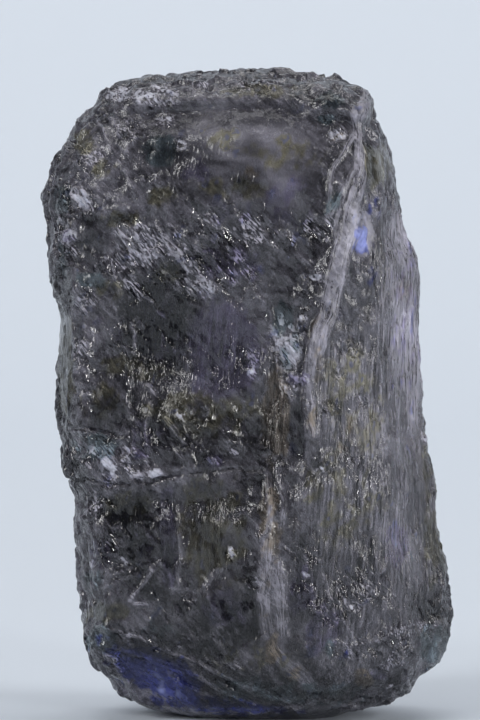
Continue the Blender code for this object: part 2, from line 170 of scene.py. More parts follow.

# Where it broke into small tilted steps that sparkle, as real relief, with painted glints in the veil there
# too
SPARKS = (
    (148, 246, 42, 14, 100, 45), (138, 286, 16, 14, 100, 40), (176, 258, 42, 12, 100, 52),
    (206, 270, 40, 16, 100, 35), (250, 232, 14, 22, 100, 70), (232, 244, 20, 12, 100, 40),
    (150, 268, 20, 10, 100, 40), (118, 262, 10, 24, 100, 75), (86, 450, 18, 16, 100, 20),
    (134, 462, 20, 14, 100, 20), (80, 300, 12, 22, 100, 60), (100, 650, 24, 14, 100, 30), (330, 610, 20, 14),
    (396, 646, 22, 18, 100, -20), (150, 640, 30, 8, 100, 10), (360, 650, 14, 10), (90, 160, 16, 12),
    (130, 130, 16, 10), (80, 198, 14, 18, 100, -20), (68, 208, 8, 8), (70, 237, 7, 6), (72, 250, 6, 7),
    (130, 245, 22, 11, 100, 45), (170, 243, 9, 14, 100, 20), (210, 217, 9, 6), (213, 230, 8, 6),
    (245, 226, 7, 14), (196, 288, 22, 12, 100, 20), (252, 274, 9, 10), (280, 240, 12, 8, 100, 20),
    (313, 228, 9, 8, 100, 30), (323, 236, 7, 6), (331, 222, 5, 7), (316, 278, 8, 6), (303, 318, 5, 4),
    (338, 135, 10, 7, 100, 10), (326, 118, 9, 6), (362, 98, 6, 6), (156, 96, 22, 10), (120, 95, 11, 8),
    (167, 121, 9, 6), (181, 144, 8, 6), (185, 416, 9, 8), (197, 426, 4, 3), (167, 380, 6, 4),
    (252, 362, 6, 16), (208, 378, 5, 6), (229, 354, 5, 5), (106, 456, 26, 18, 100, 10), (110, 468, 11, 12),
    (146, 474, 17, 6), (213, 461, 9, 5), (234, 452, 5, 4), (114, 330, 5, 4), (80, 350, 8, 12),
    (288, 350, 11, 18), (287, 386, 10, 10), (296, 379, 5, 4), (306, 380, 6, 3), (309, 402, 4, 5),
    (323, 468, 13, 5), (355, 460, 5, 5), (230, 552, 5, 9), (238, 520, 4, 5), (256, 583, 9, 5),
    (262, 533, 4, 4), (302, 553, 18, 8, 100, 15), (305, 576, 6, 5), (354, 609, 6, 5), (124, 559, 6, 6),
    (93, 563, 5, 5), (98, 581, 5, 5), (110, 550, 10, 14), (333, 658, 4, 4), (330, 648, 4, 5),
    (349, 650, 6, 10), (384, 665, 7, 3), (379, 694, 4, 4), (392, 690, 6, 8), (425, 438, 5, 7),
    (424, 626, 12, 6), (120, 668, 6, 8), (222, 662, 18, 6, 100, 10), (350, 345, 14, 10, 100, 30),
    (340, 372, 8, 6), (362, 400, 8, 8), (330, 408, 9, 9), (362, 586, 24, 16), (82, 456, 6, 10),
    (100, 500, 16, 14), (62, 240, 6, 30), (250, 84, 24, 6), (200, 82, 10, 5),
)

# Where it is smooth, fibrous or frosted with tiny pits; many of the frosted patches are painted glints
SMOOTH_PATCHES = (
    (232, 150, 70, 40), (284, 190, 34, 34), (222, 348, 32, 48), (212, 532, 34, 50), (283, 317, 9, 15),
    (297, 430, 7, 34), (168, 540, 7, 46), (378, 165, 11, 22), (108, 614, 20, 8), (66, 340, 7, 60),
    (392, 546, 10, 16), (88, 278, 14, 6), (361, 240, 12, 20),
)
FIBRE_PATCHES = (
    (400, 330, 34, 130), (360, 560, 76, 110), (350, 400, 40, 80), (420, 520, 30, 90), (276, 400, 14, 60),
    (165, 350, 40, 60, 60), (222, 348, 30, 46, 70), (212, 532, 30, 46, 60), (168, 540, 8, 46, 70),
)
FROST_AND_GLINT_PATCHES = (
    (120, 94, 11, 6, 60), (142, 97, 10, 6, 26), (162, 94, 14, 8, 34, 10), (168, 121, 10, 4, 34, 15),
    (181, 144, 5, 4, 26), (110, 467, 9, 9, 42, 10), (95, 452, 9, 5, 22, 20), (139, 476, 6, 3, 40),
    (155, 474, 6, 3, 40), (81, 197, 7, 11, 34, -20), (70, 237, 6, 5, 36), (338, 136, 8, 4, 26, 10),
    (252, 364, 4, 10, 14), (184, 416, 7, 6, 36), (286, 345, 12, 27, 22, -10), (284, 386, 6, 8, 14),
    (146, 252, 30, 7, 12, 48), (176, 256, 28, 5, 10, 56), (204, 284, 16, 6, 14, 30), (306, 380, 5, 3, 20),
    (230, 552, 2, 7, 36, 14), (316, 277, 6, 3, 34, -20), (303, 318, 4, 2, 30), (316, 470, 3, 3, 40),
    (324, 467, 4, 2, 34), (332, 464, 3, 2, 30), (255, 586, 4, 2, 40), (307, 576, 6, 2, 26, 35),
    (354, 609, 5, 2, 26, 50), (124, 559, 3, 4, 32, -20), (93, 563, 3, 3, 24), (425, 438, 3, 4, 34),
    (250, 371, 3, 3, 30), (194, 288, 20, 8, 8, 20), (130, 245, 18, 8, 10, 45),
)

# Where it is tinted
TINTS = {
    "olive": (
        (84, 142, 14, 12, 80, 20), (104, 166, 12, 10, 70), (222, 137, 20, 14, 50), (160, 198, 14, 14, 70),
        (284, 154, 36, 20, 50), (240, 190, 40, 12, 60), (120, 218, 20, 8, 80), (66, 370, 9, 50, 80),
        (110, 290, 14, 12, 70), (170, 274, 16, 10, 70), (140, 366, 40, 14, 70), (100, 400, 24, 18, 60),
        (200, 412, 60, 24, 80), (212, 534, 40, 56, 70), (108, 614, 24, 10, 80), (130, 508, 26, 18, 60),
        (376, 166, 14, 24, 90), (352, 400, 34, 60, 50), (340, 500, 44, 50, 50), (436, 550, 12, 50, 70),
        (260, 90, 40, 8, 60), (75, 236, 8, 14, 40), (240, 660, 60, 16, 40), (430, 470, 12, 60, 40),
    ),
    "tan": (
        (276, 420, 14, 50, 90), (270, 520, 12, 40, 70), (273, 650, 8, 18, 90), (316, 350, 8, 40, 50),
        (313, 424, 6, 20, 60), (348, 440, 10, 24, 50), (364, 680, 9, 12, 90), (300, 676, 14, 10, 50),
        (255, 172, 8, 8, 60), (185, 630, 12, 12, 50), (338, 137, 9, 6, 50), (268, 566, 10, 70, 40),
        (405, 290, 8, 16, 50),
    ),
    "violet": (
        (222, 348, 42, 54, 90), (168, 540, 9, 56), (286, 200, 30, 28, 50), (196, 168, 20, 12, 70),
        (160, 336, 24, 30, 80), (230, 262, 30, 22, 80), (302, 590, 14, 26, 90), (326, 628, 22, 26, 70),
        (396, 548, 14, 22, 80), (404, 320, 20, 90, 40), (70, 237, 9, 7), (213, 461, 12, 8, 90),
        (150, 440, 20, 24, 60), (228, 610, 26, 20, 80), (100, 556, 14, 16, 60), (378, 673, 7, 5),
        (104, 455, 10, 8, 70), (110, 330, 16, 16, 50), (252, 360, 8, 14, 90), (298, 378, 14, 6, 90),
        (140, 540, 14, 14, 60), (320, 440, 8, 30, 30), (230, 210, 40, 14, 50),
    ),
    "teal": (
        (160, 150, 16, 18), (330, 100, 14, 10, 80), (326, 118, 10, 6), (283, 318, 10, 16),
        (100, 446, 26, 14, 80), (62, 200, 9, 14, 80), (90, 280, 18, 8, 80), (334, 204, 8, 14, 60, 30),
        (150, 592, 18, 16, 30), (436, 646, 20, 22, 80), (102, 640, 16, 14), (300, 694, 70, 12, 70),
        (288, 348, 10, 24, 50), (330, 650, 5, 10), (64, 262, 8, 20, 60), (95, 582, 14, 14, 50),
        (170, 630, 30, 10, 50), (250, 690, 40, 16, 60), (404, 560, 14, 20, 30),
    ),
    # The stone's own blue, which is also laid under the painted blue glow and flash
    "blue": (
        (156, 674, 52, 22, 100, 26), (120, 654, 30, 10, 70, 35), (216, 704, 70, 9, 90, 5),
        (361, 240, 9, 16, 60), (361, 249, 8, 6, 80), (371, 278, 10, 10, 50), (378, 208, 10, 12, 45),
        (297, 430, 7, 34, 35), (349, 650, 5, 10, 40), (366, 254, 8, 8, 40), (250, 712, 60, 4, 60),
    ),
}

# Painted blue light: the glow that comes up through the lower end, and the blue flash
GLOWS = (
    (168, 694, 22, 8, 38), (161, 690, 4, 3, 55), (164, 684, 34, 14, 20, 24), (210, 711, 66, 4, 34),
    (361, 247, 9, 10, 68), (362, 238, 11, 19, 50), (361, 222, 9, 14, 30), (368, 270, 10, 14, 10),
)

# Flat glossy facets: the rise to the right and upwards in mm per mm, and then a patch
FACETS = (
    (0.2, 0.05, 283, 318, 9, 16), (0.22, 0.42, 290, 354, 10, 14), (-0.2, 0.05, 297, 430, 7, 34),
    (0.15, 0.5, 110, 468, 10, 11, 100, 10), (-0.25, 0.35, 118, 450, 9, 8, 100, 20),
    (0.3, 0.3, 92, 446, 10, 8), (0.1, 0.5, 138, 476, 7, 5), (-0.1, 0.5, 155, 474, 7, 5),
    (-0.2, 0.3, 361, 240, 8, 14), (0.2, -0.25, 390, 676, 16, 11, 100, 20), (0.25, -0.15, 436, 646, 15, 18),
    (0.25, -0.25, 181, 145, 8, 7), (0.25, 0.1, 395, 232, 9, 16), (-0.2, 0.4, 120, 96, 10, 7),
    (0.2, 0.4, 338, 134, 10, 7, 100, 10), (-0.25, 0.3, 82, 198, 8, 12, 100, -20),
    (0.1, 0.4, 160, 96, 14, 8, 100, 10),
)

# Layers of relief over the whole stone: pattern, size in mm, stretch, turn in degrees, height in mm, share
RELIEF = (
    ("lumps", 5.0, (1, 1, 1.6), (0, -10, 0), 0.30, "open"),
    ("facets", 3.6, (1, 1, 1.7), (12, 14, 20), 0.24, "open"),
    ("facets", 1.4, (1, 1, 1.6), (-20, -30, 10), 0.08, "broken"),
    ("shards", 2.3, (1, 1, 1.5), (18, -24, 10), 0.24, "broken"),
    ("shards", 0.80, (1, 1, 2.6), (-8, -38, 24), 0.13, "broken"),
    ("steps", 4.6, (1, 1, 1), (7, 4, 0), 0.09, "broken"),
    ("steps", 2.1, (1, 1, 1), (20, 82, 15), 0.05, "broken"),
    ("lumps", 1.7, (1, 1, 1.2), (40, 10, 0), 0.45, "broken"),
    ("lumps", 0.60, (1, 1, 8.0), (0, -3, 0), 0.24, "fibre"),
    ("shards", 0.50, (1, 1, 7.0), (0, 2, 0), 0.12, "fibre"),
    ("shards", 0.55, (1, 1, 3.2), (0, -42, 12), 0.22, "spark"),
    ("lumps", 0.60, (1, 1, 1.5), (30, 20, 0), 0.06, "open"),
    ("strands", 1.0, (1, 1, 1), (0, 0, 0), 0.60, "stroke"),
)

# The gap between points while the surface is worked and the one under which they are merged, in mm, the most
# triangles in the end, how strongly the stone is smoothed once, and the angle over which its edges are sharp
WORK_STEP = 0.11
MERGE_DISTANCE = 0.001
FINAL_TRIANGLES = 198000
SMOOTHING = 0.3
SHARP_ANGLE = math.radians(50.0)

# Near its upper and left outlines the front is brought forward by up to this share of its depth. The outline
# is found in bins this wide, and the filling starts and ends this far from it, all in mm.
RIM_FILL = 0.45
RIM_BIN = 1.0
RIM_START = 2.3
RIM_END = 0.5

# How far strokes stand out per unit of their strength, in mm, and the gap between their patterns in pixels
STROKE_HEIGHT = 0.45
LINE_SPACING = 500.0
# How fast the strand pattern changes across and along a stroke, per pixel
STRAND_SHAPES = (("across", 0.42), ("along", 0.045))
# Drawn patches and lines fade out at this many half widths, and facets between these shares of their cover
SOFT_EDGE = 1.5
FACET_EDGE = (0.2, 0.6)
# How drawn outlines wander, as (size in mm, reach in pixels), and how far the level lines of the steps do
OUTLINE_WANDER = ((2.0, 3.0), (0.6, 1.3))
STEP_WANDER = 2.4
# There are steps where a slow noise is over these values
STEP_SPOTS = (0.45, 0.6)

# The facings, from -1 backwards to 1 frontwards, between which drawn relief and drawn finish take over
RELIEF_FRONT = (-0.2, 0.1)
FINISH_FRONT = (-0.65, 0.0)
# The stone is rougher by this factor at the facings below these, where it turns away from the front
RIM_ROUGHNESS = 2.2
RIM_FACINGS = (0.3, 0.85)
# Relief sets in between these heights over the flat spot, in mm
FOOT_HEIGHTS = (0.05, 1.3)
# How much smooth, fibrous and worn parts calm the open and the broken relief, and how fast strokes clear both
OPEN_CALM = 0.8
SMOOTH_CALM = 0.95
FIBRE_CALM = 0.7
STROKE_CALM = 0.8
BROKEN_CLEARING = 2.0
FIBRE_CLEARING = 3.0

# Grown patches, as size in mm, seed, and the noise values at which they start and are full: smooth, fibrous
# and sparkling ones, and those of the shade, the frosted chips with their painted glints and the tints
SEED_SHIFT = (7.3, 3.1, 5.7)
GROWN_TEXTURES = ((5.0, 1, 0.05, 0.35), (6.0, 2, 0.1, 0.45), (2.0, 3, 0.12, 0.35))
SHADE_PATCHES = (6.0, 4, -0.4, 0.4)
FROST_AND_GLINT_SPOTS = (2.0, 5, 0.30, 0.50)
TINT_PATCHES = (4.0, 10, 0.05, 0.35)
# How far the grown shade swings, and the most that frosted chips with painted glints and each tint show on
# the hidden sides
GROWN_SHADE = 0.10
SIDE_FROST_AND_GLINTS = 0.25
SIDE_TINTS = {"olive": 0.9, "tan": 0.5, "violet": 0.9, "teal": 0.6, "blue": 0.25}
# Edges are rubbed where they stand out by these heights, in mm, after this many rounds of blurring
EDGE_HEIGHTS = (0.008, 0.045)
BLUR_ROUNDS = 4

# Each tint's colour, and the most that it replaces the stone's own; the glow's is the colour of painted blue
# light
TINT_COLOURS = (
    ("olive", "#BCB59A", 0.9),
    ("tan", "#C8B59F", 0.8),
    ("violet", "#B2A9D0", 0.85),
    ("teal", "#9DB4C0", 0.8),
    ("blue", "#4452BE", 0.9),
    ("glow", "#A2ABEC", 1.0),
)
# The strokes before this number are the ridges' strands; the others are broken up into short pieces
RIDGE_STROKES = 15

# Kinds of nodes, and options that many of them share
MATH = "ShaderNodeMath"
VECTOR_MATH = "ShaderNodeVectorMath"
MIX = "ShaderNodeMix"
RANGE = "ShaderNodeMapRange"
NOISE = "ShaderNodeTexNoise"
CELLS = "ShaderNodeTexVoronoi"
STORED = "GeometryNodeInputNamedAttribute"
COLOURS = {"data_type": "RGBA"}
PLUS = {"operation": "ADD"}
MINUS = {"operation": "SUBTRACT"}
TIMES = {"operation": "MULTIPLY"}
TIMES_PLUS = {"operation": "MULTIPLY_ADD"}

# Grains of the material: size in mm, stretch, turn in degrees, octaves, the values that are spread to 0 and
# 1, and how much the finer octaves keep
GRAINS = {
    "ragged": (0.80, (1, 1, 1.5), (10, 20, 30), 2.0, 0.30, 0.70, 0.60),
    "clouds": (2.60, (1, 1, 1.5), (0, -25, 0), 1.0, 0.30, 0.70, 0.60),
    "loose": (0.60, (1, 1, 2.0), (0, -38, 0), 4.0, 0.38, 0.66, 0.75),
    "brushed": (1.20, (2.4, 1, 1), (0, 8, 0), 2.0, 0.25, 0.75, 0.60),
    "upright": (0.16, (1, 1, 12.0), (0, 3, 0), 2.0, 0.30, 0.70, 0.60),
    "slanting": (0.16, (1, 1, 5.0), (0, -42, 0), 3.0, 0.38, 0.66, 0.70),
    "wisps": (1.50, (1, 1, 1.6), (0, -30, 10), 1.0, 0.0, 1.0, 0.50),
    "clumps": (1.30, (1, 1, 1.6), (0, -42, 20), 2.0, 0.46, 0.62, 0.60),
    # This grain lays small bright flakes that are partly painted glints
    "splinters": (0.10, (1, 1, 5.0), (0, -42, 0), 1.0, 0.53, 0.67, 0.60),
    "chips": (0.42, (1, 1, 2.4), (0, -42, 10), 2.0, 0.49, 0.55, 0.60),
    "pits": (0.20, (1, 1, 1.4), (0, -30, 0), 2.0, 0.34, 0.58, 0.85),
    "fine": (0.14, (1, 1, 8.0), (0, 3, 0), 1.0, 0.30, 0.70, 0.60),
}
# Small flat cells that glint: size in mm, stretch and turn; and how deep they and the fine grain are, in mm
GLINT_CELLS = (0.30, (1, 1, 2.2), (8, -42, 0))
GLINT_DEPTH = 0.36
FINE_DEPTH = 0.05
# How much the cells lean outside the sparkling patches, and how much of the fine grain loose faces have
LEAST_LEAN = 0.30
LEAST_FINE = 0.25
# What each part adds to the veil of cracks, as shares of the light that it turns back. The splinter flakes
# and frosted chips also carry painted glints, and the glow is painted blue light
VEIL_WEAVE = 1.7
VEIL_CLOUDS = 0.8
LEAST_VEIL = 0.006
LOOSE_SLANT = 0.4
WISP_SPOTS = (0.5, 0.8)
WISP_WIDTH = 0.014
WISP_VEIL = 0.12
SPLINTER_AND_GLINT_VEILS = (0.20, 1.6)
SPLINTERS_AND_GLINTS_ON_SMOOTH = 0.15
SPLINTERS_AND_GLINTS_ON_FIBRES = 0.4
STRAND_GAPS = (0.75, 0.045)
STRAND_VALUES = (0.34, 0.66)
STRAND_VEIL = 1.6
PIECE_VEILS = (1.5, 0.2)
FROST_AND_GLINT_VEIL = 6.0
FROST_AND_GLINT_LEAST = 0.04
EDGE_VEIL = 0.14
GLOW_VEILS = (1.1, 0.4)
# Where the stored shares start and are full, and how far noise shifts their edges
FIBROUS_EDGE = (0.3, 0.8, 0.4)
SPARK_EDGE = (0.3, 0.7, 0.6)
TINT_EDGE = (0.3, 0.75, 0.9)
# The stone's own colour, the colour of its frosted chips and painted glints and how fast that sets in, and
# how dark the stone's own is between these factors of its veil
STONE_COLOUR = "#CAC6D5"
FROST_AND_GLINT_COLOUR = "#DEDEEC"
FROST_AND_GLINT_TINT = 5.0
DARKEST = 0.55
DARK_FACTORS = (0.4, 1.8)
# How rough the polished, the dull and the most worn faces are, and the veils that wear starts and ends at
ROUGHNESS = (0.07, 0.24, 0.50)
WORN_VEILS = (0.15, 0.6)
MOST_WORN = 0.8
# The sparkling shares between which the cells come to lean fully
LEANING_SHARES = (0.15, 0.5)
VEILED_CLEARNESS = 0.05
# What the material reads from the finished mesh
FINISH_SHARES = (
    "edge", "stroke", "across", "along", "shade", "smooth", "fibrous", "spark", "frost", "glow", *TINTS,
)

# The studio, in metres: the floor's size, the edge that the backdrop rises from, its rise and its curve
FLOOR_SIZE = (1.6, 1.0, 1.0)
BACK_EDGE = 0.4
FLOOR_TOP = 0.1
BACKDROP_RISE = (0.0, 0.0, 0.9)
BACKDROP_CURVE = 0.3
BOARD_ROUGHNESS = 0.9
CAMERA_CLIP = (0.01, 10.0)
SKY_COLOUR = "#D5DEEA"
SKY_STRENGTH = 0.11
# Soft lights, as name, place and aim in mm, size in mm and power in watts
MIDDLE = (0.0, 0.0, 19.0)
LIGHTS = (
    ("left_softbox", (-260, -160, 160), MIDDLE, (90, 200), 0.44),
    ("right_softbox", (280, -60, 120), MIDDLE, (110, 220), 0.40),
    ("top_softbox", (0, -20, 330), MIDDLE, (220, 160), 0.15),
    ("back_wash", (0, 200, 420), (0, 480, 60), (500, 200), 1.22),
    ("left_glint", (-150, -210, 250), MIDDLE, (60, 90), 0.12),
    ("right_glint", (170, -230, 60), MIDDLE, (26, 60), 0.18),
)


def shared_linear(hex_colour):
    """An sRGB hex colour as linear red, green, blue and full alpha."""
    channels = [int(hex_colour[place:place + 2], 16) / 255.0 for place in (1, 3, 5)]
    linear = [c / 12.92 if c <= 0.04045 else ((c + 0.055) / 1.055) ** 2.4 for c in channels]
    return (*linear, 1.0)


def add_node(tree, kind, settings=(), inputs=()):
    """Adds a node with its own options. Inputs, by name or in order, are values or what to link from."""
    made = tree.nodes.new(kind)
    for name, value in dict(settings).items():
        setattr(made, name, value)
    for name, value in inputs.items() if isinstance(inputs, dict) else enumerate(inputs):
        if isinstance(value, bpy.types.Node):
            value = value.outputs[0]
        if isinstance(value, bpy.types.NodeSocket):
            tree.links.new(value, made.inputs[name])
        else:
            made.inputs[name].default_value = value
    return made


def work_on(piece):
    """Selects this piece alone and makes it the active one."""
    bpy.ops.object.select_all(action="DESELECT")
    piece.select_set(True)
    bpy.context.view_layer.objects.active = piece


def in_edit_mode(operate, **settings):
    """Does one thing to the active piece in edit mode."""
    bpy.ops.object.mode_set(mode="EDIT")
    operate(**settings)
    bpy.ops.object.mode_set(mode="OBJECT")


def reshape(piece, kind, **settings):
    """Adds a modifier with these settings to a piece and applies it."""
    modifier = piece.modifiers.new(kind.lower(), kind)
    for name, value in settings.items():
        setattr(modifier, name, value)
    work_on(piece)
    bpy.ops.object.modifier_apply(modifier=modifier.name)


def new_object(name, data):
    """An object with this data, in the scene."""
    made = bpy.data.objects.new(name, data)
    bpy.context.scene.collection.objects.link(made)
    return made


def rows_of(mesh, what="co"):
    """The place of each point of a mesh, or with "normal" the way it faces, as rows of three."""
    values = np.empty(len(mesh.vertices) * 3, np.float32)
    mesh.vertices.foreach_get(what, values)
    return values.reshape(-1, 3).astype(float)


def move_points(mesh, places):
    """Puts each point of a mesh at its place."""
    mesh.vertices.foreach_set("co", places.astype(np.float32).ravel())
    mesh.update()


def store(mesh, **shares):
    """Keeps these numbers for each point of a mesh, under their names."""
    for name, values in shares.items():
        attribute = mesh.attributes.get(name) or mesh.attributes.new(name, "FLOAT", "POINT")
        attribute.data.foreach_set("value", values.astype(np.float32))


def ease(values, low, high):
    """0 below low, 1 above high, and an even curve between them."""
    share = np.clip((values - low) / (high - low), 0.0, 1.0)
    return share * share * (3.0 - 2.0 * share)


def outline_distance(places, along, out, sign):
    """How far each place is, in mm, from the outline on one side, found in bins along another axis."""
    bins = np.round(places[:, along] / RIM_BIN).astype(int)
    first = bins.min()
    farthest = np.full(bins.max() - first + 1, -np.inf)
    np.maximum.at(farthest, bins - first, sign * places[:, out])
    centres = (np.arange(len(farthest)) + first) * RIM_BIN
    return np.interp(places[:, along], centres, farthest) - sign * places[:, out]


def fill_front(mesh):
    """Brings the front forward near its upper and left outlines, so that it keeps flat almost up to them."""
    places = rows_of(mesh)
    rim = np.minimum(outline_distance(places, 0, 2, 1.0), outline_distance(places, 2, 0, -1.0))
    forward = 1.0 + RIM_FILL * ease(-rim, -RIM_START, -RIM_END)
    front = places[:, 1] < 0.0
    places[front, 1] *= forward[front]
    move_points(mesh, places)


def camera_axes():
    """The camera's place in millimetres, and its right, up and forward directions."""
    tilt = math.radians(CAMERA_TILT)
    forward = np.array((0.0, math.cos(tilt), -math.sin(tilt)))
    up = np.array((0.0, math.sin(tilt), math.cos(tilt)))
    place = np.array((AIM_ACROSS, 0.0, AIM_HEIGHT)) - forward * CAMERA_DISTANCE
    return place, np.array((1.0, 0.0, 0.0)), up, forward


def pixels_of(places):
    """Where the photo's frame shows each place, in pixels across and down."""
    eye, right, up, forward = camera_axes()
    ahead = (places - eye) @ forward
    across = FRAME_WIDTH / 2.0 + FOCAL_PIXELS * ((places - eye) @ right) / ahead
    down = FRAME_HEIGHT / 2.0 - FOCAL_PIXELS * ((places - eye) @ up) / ahead
    return np.column_stack((across, down))


def patch_cover(pixels, patch):
    """The strength of a turned patch at each pixel: all well inside, half on its edge and none outside."""
    across, down, half_width, half_height, strength, turn = (*patch, *PATCH_REST[len(patch) - 4:])
    angle = math.radians(turn)
    offsets = pixels - np.array((across, down))
    near = np.abs(offsets).max(axis=1) < SOFT_EDGE * max(half_width, half_height)
    close = offsets[near]
    along = (close[:, 0] * math.cos(angle) + close[:, 1] * math.sin(angle)) / half_width
    aside = (close[:, 1] * math.cos(angle) - close[:, 0] * math.sin(angle)) / half_height
    cover = np.zeros(len(pixels))
    cover[near] = strength / 100.0 * ease(SOFT_EDGE - np.hypot(along, aside), 0.0, 1.0)
    return cover


def most_cover(pixels, patches):
    """The greatest cover that any of these patches gives each pixel."""
    cover = np.zeros(len(pixels))
    for patch in patches:
        cover = np.maximum(cover, patch_cover(pixels, patch))
    return cover


def line_offsets(pixels, corners):
    """Each pixel's distance to a line, the same with its side as a sign, and how far along the line it is."""
    lengths = np.linalg.norm(np.diff(corners, axis=0), axis=1)
    starts = np.concatenate(([0.0], np.cumsum(lengths)))
    distance = np.full(len(pixels), np.inf)
    across = np.zeros(len(pixels))
    along = np.zeros(len(pixels))
    for place, length in enumerate(lengths):
        way = (corners[place + 1] - corners[place]) / length
        offsets = pixels - corners[place]
        reach = np.clip(offsets @ way, 0.0, length)
        here = np.linalg.norm(offsets - reach[:, None] * way, axis=1)
        side = offsets[:, 0] * way[1] - offsets[:, 1] * way[0]
        closer = here < distance
        distance[closer] = here[closer]
        across[closer] = side[closer]
        along[closer] = starts[place] + reach[closer]
    return distance, across, along, starts[-1]


def draw_lines(pixels, lines):
    """The strongest of these lines at each pixel, and where it lies across and along that line, in pixels."""
    strongest = np.zeros(len(pixels))
    across = np.zeros(len(pixels))
    along = np.zeros(len(pixels))
    for number, (strength, half_width, *points) in enumerate(lines):
        corners = np.array(points, float).reshape(-1, 2)
        reach = SOFT_EDGE * half_width
        near = np.all((pixels > corners.min(axis=0) - reach) & (pixels < corners.max(axis=0) + reach), axis=1)
        near = np.flatnonzero(near)
        distance, side, place, length = line_offsets(pixels[near], corners)
        end = np.minimum(place, length - place) + half_width - distance
        share = strength / 100.0 * ease(SOFT_EDGE - distance / half_width, 0.0, 1.0)
        share *= ease(end, -half_width, 2.0 * half_width)
        stronger = np.abs(share) > np.abs(strongest[near])
        chosen = near[stronger]
        strongest[chosen] = share[stronger]
        across[chosen] = side[stronger]
        along[chosen] = place[stronger] + LINE_SPACING * number
    return strongest, across, along


def facet_relief(pixels):
    """The height that the flat glossy facets add at each pixel."""
    heights = np.zeros(len(pixels))
    for right, upwards, *patch in FACETS:
        rise = right * (pixels[:, 0] - patch[0]) - upwards * (pixels[:, 1] - patch[1])
        heights += ease(patch_cover(pixels, patch), *FACET_EDGE) * rise * PIXEL_SIZE
    return heights


def uneven(places):
    """The pixel of each place, shifted a little by slow noise so that drawn outlines wander."""
    pixels = pixels_of(places)
    for size, reach in OUTLINE_WANDER:
        shifts = np.array([noise.noise_vector(place) for place in (places / size).tolist()])
        pixels = pixels + reach * shifts[:, :2]
    return pixels


def grown_patches(places, size, seed, low, high):
    """Patches of this size in mm over the whole stone, for the sides that the photo doesn't show."""
    spots = places / size + seed * np.array(SEED_SHIFT)
    return ease(np.array([noise.noise(spot) for spot in spots.tolist()]), low, high)


def front_share(mesh, low, high):
    """How much each point of a mesh faces the front."""
    return ease(-rows_of(mesh, "normal")[:, 1], low, high)


def texture_shares(places, pixels, front):
    """How smooth, fibrous and sparkling each place is: as the photo shows in front, and grown elsewhere."""
    grown = [grown_patches(places, *patches) for patches in GROWN_TEXTURES]
    grown[2] *= 1.0 - grown[0]
    drawn = [most_cover(pixels, patches) for patches in (SMOOTH_PATCHES, FIBRE_PATCHES, SPARKS)]
    return [own + front * (shown - own) for own, shown in zip(grown, drawn)]


def store_relief(mesh):
    """Keeps, for each point, how much of each kind of relief it gets."""
    places = rows_of(mesh)
    pixels = uneven(places)
    front = front_share(mesh, *RELIEF_FRONT)
    above = ease(places[:, 2], *FOOT_HEIGHTS)
    smooth, fibrous, spark = texture_shares(places, pixels, front)
    stroke, across, along = draw_lines(pixels, STROKES)
    stroke *= front
    carve = front * (STROKE_HEIGHT * stroke + draw_lines(pixels, CRACKS)[0] + facet_relief(pixels))
    broken = (1.0 - SMOOTH_CALM * smooth) * (1.0 - FIBRE_CALM * fibrous)
    broken *= 1.0 - np.minimum(BROKEN_CLEARING * stroke, STROKE_CALM)
    broken *= RIM_ROUGHNESS - (RIM_ROUGHNESS - 1.0) * front_share(mesh, *RIM_FACINGS)
    fibre = np.clip(fibrous - smooth, 0.0, 1.0) * (1.0 - np.minimum(FIBRE_CLEARING * stroke, 1.0))
    store(mesh, open=above * (1.0 - OPEN_CALM * front * smooth), broken=above * broken, fibre=above * fibre)
    store(mesh, spark=above * spark, stroke=above * stroke, across=across, along=along, carve=above * carve)


def relief_tree():
    """The geometry nodes that move each point along its normal by all the layers of relief."""
    tree = bpy.data.node_groups.new("broken surface", "GeometryNodeTree")
    for way in ("INPUT", "OUTPUT"):
        tree.interface.new_socket("Geometry", in_out=way, socket_type="NodeSocketGeometry")
    add = partial(add_node, tree)
    start = add("NodeGroupInput")
    position = add("GeometryNodeInputPosition")
    total = add(STORED, {}, {"Name": "carve"})
    for pattern, size, stretch, turn, height, share in RELIEF:
        turned = {"Vector": position, "Rotation": [math.radians(angle) for angle in turn]}
        turned = add("ShaderNodeVectorRotate", {"rotation_type": "EULER_XYZ", "invert": True}, turned)
        scaled = add(VECTOR_MATH, {"operation": "DIVIDE"}, (turned, [size * part for part in stretch]))
        part = add(MATH, TIMES, (PATTERNS[pattern](tree, scaled), add(STORED, {}, {"Name": share})))
        total = add(MATH, TIMES_PLUS, (part, height, total))
    offset = add(VECTOR_MATH, {"operation": "SCALE"}, {0: add("GeometryNodeInputNormal"), "Scale": total})
    moved = add("GeometryNodeSetPosition", {}, {"Geometry": start, "Offset": offset})
    add("NodeGroupOutput", {}, {"Geometry": moved})
    return tree


def lumps(tree, vector):
    """Soft uneven heights, from -0.5 to 0.5."""
    heights = add_node(tree, NOISE, {}, {"Vector": vector, "Scale": 1.0, "Detail": 3.0, "Roughness": 0.55})
    return add_node(tree, MATH, MINUS, (heights, 0.5))


def facets(tree, vector):
    """Flat faces that meet in edges, as the step between the squared distances to the two nearest cells."""
    squares = []
    for feature in ("F2", "F1"):
        cells = add_node(tree, CELLS, {"feature": feature}, {"Vector": vector, "Scale": 1.0})
        squares.append(add_node(tree, MATH, {"operation": "POWER"}, (cells, 2.0)))
    return add_node(tree, MATH, MINUS, squares)


def shards(tree, vector):
    """Cells that are each tilted their own way, with a step between one and the next."""
    cells = add_node(tree, CELLS, {}, {"Vector": vector, "Scale": 1.0})
    offset = add_node(tree, VECTOR_MATH, MINUS, (vector, cells.outputs["Position"]))
    tilt = add_node(tree, VECTOR_MATH, MINUS, (cells.outputs["Color"], (0.5, 0.5, 0.5)))
    return add_node(tree, VECTOR_MATH, {"operation": "DOT_PRODUCT"}, (offset, tilt)).outputs["Value"]


